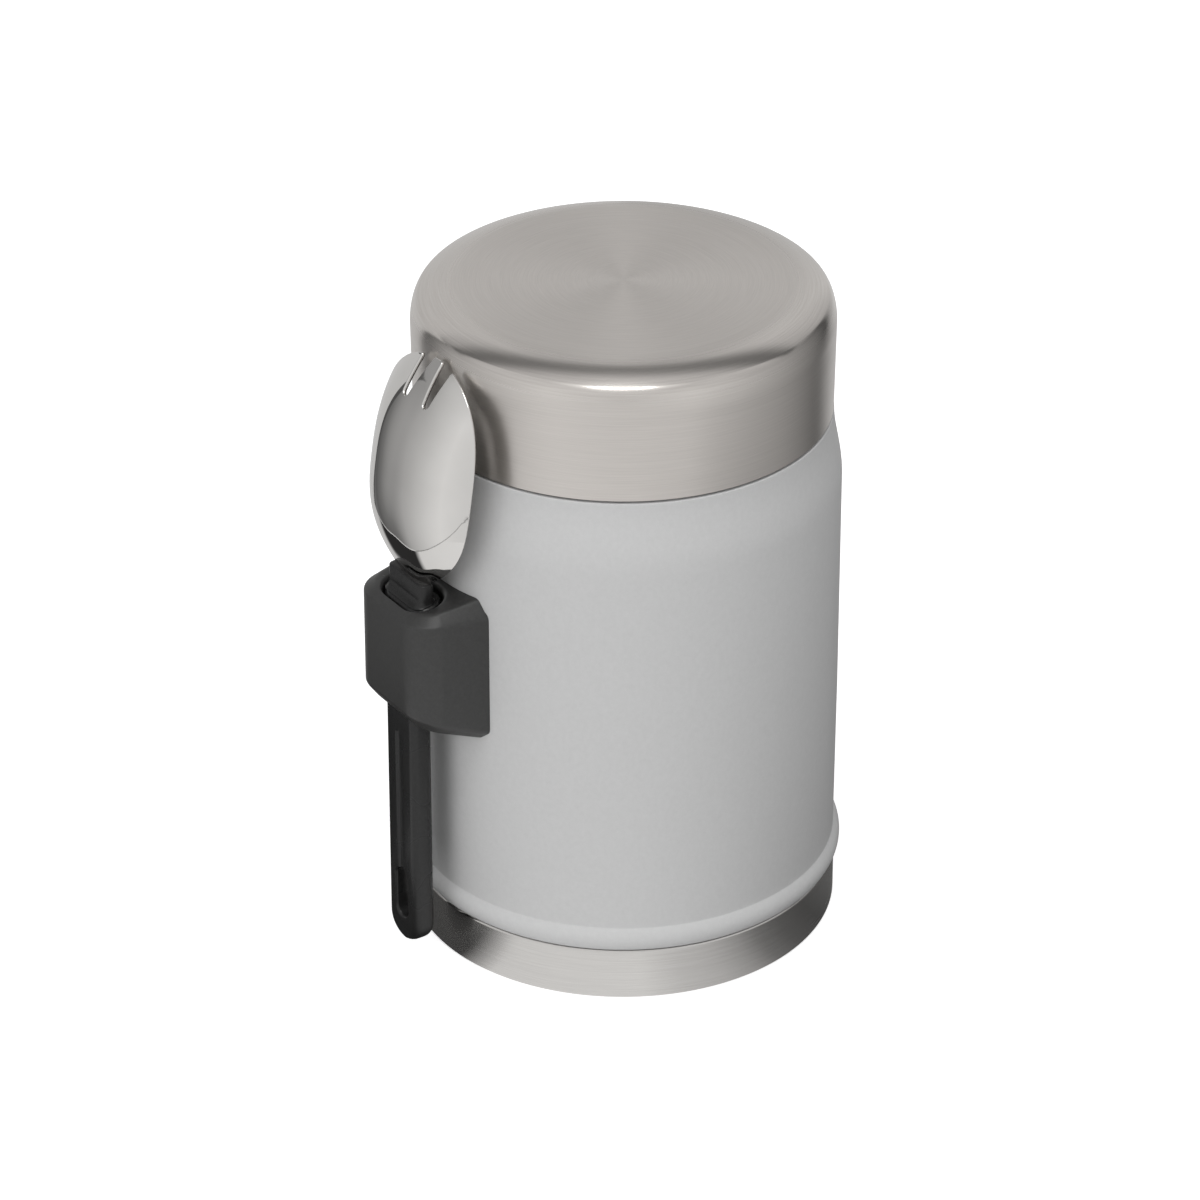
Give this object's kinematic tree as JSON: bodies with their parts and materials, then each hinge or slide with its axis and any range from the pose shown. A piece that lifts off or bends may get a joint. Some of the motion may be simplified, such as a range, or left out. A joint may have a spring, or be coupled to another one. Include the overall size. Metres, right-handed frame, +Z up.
{
  "type": "insulated food jar",
  "caption": "Wide-mouth vacuum food jar with a screw-on steel lid, powder-coated body, bare steel foot band and a steel spork standing in a black holder on its side.",
  "frame": {"origin": "Middle of the flat face the jar stands on, on the jar's own axis.", "axes": "+Z up along the jar's axis, -Y out through the spork holder, +X to the right of somebody who faces the holder."},
  "size_m": [0.0922, 0.1041, 0.1442],
  "materials": {
    "body_coat": "fine matte powder coat",
    "vessel_steel": "satin",
    "brushed_band": "brushed round the axis",
    "lid_steel": "brushed round the axis",
    "polished_steel": "mirror polished",
    "seal_metal": "hardened dark drop",
    "getter_metal": "pressed powder",
    "foil": "bright thin foil",
    "liner_plastic": "moulded, fine matte",
    "foam": "open cell foam",
    "silicone": "soft matte",
    "black_plastic": "moulded, fine matte",
    "screw_steel": "plain"
  },
  "bodies": {
    "jar": {"outer_shell": "body_coat", "inner_vessel": "vessel_steel", "base_cup": "brushed_band", "base_plate": "brushed_band", "vacuum_seal": "seal_metal", "getter": "getter_metal", "getter_clip": "vessel_steel", "heat_foil": "foil", "holder": "black_plastic", "holder_bracket": "vessel_steel", "holder_screws": "screw_steel"},
    "lid_core": {"lid_insulation": "foam"},
    "lid": {"lid_shell": "lid_steel", "lid_liner": "liner_plastic", "lid_gasket": "silicone"},
    "spork": {"spork_head": "polished_steel", "spork_handle": "black_plastic"}
  },
  "joints": [
    {"name": "lid_lift", "type": "slide", "parent": "jar", "child": "lid_core", "axis": [0, 0, 1], "range_m": [0, 0.02]},
    {"name": "lid_turn", "type": "hinge", "parent": "lid_core", "child": "lid", "pos_m": [0, 0, 0.1166], "axis": [0, 0, 1], "range_deg": [0, 720]},
    {"name": "spork_pull", "type": "slide", "parent": "jar", "child": "spork", "axis": [0, 0, 1], "range_m": [0, 0.085]}
  ],
  "couplings": [
    {"joint": "lid_turn", "follows": "lid_lift", "rad_per_m": 628.32}
  ]
}
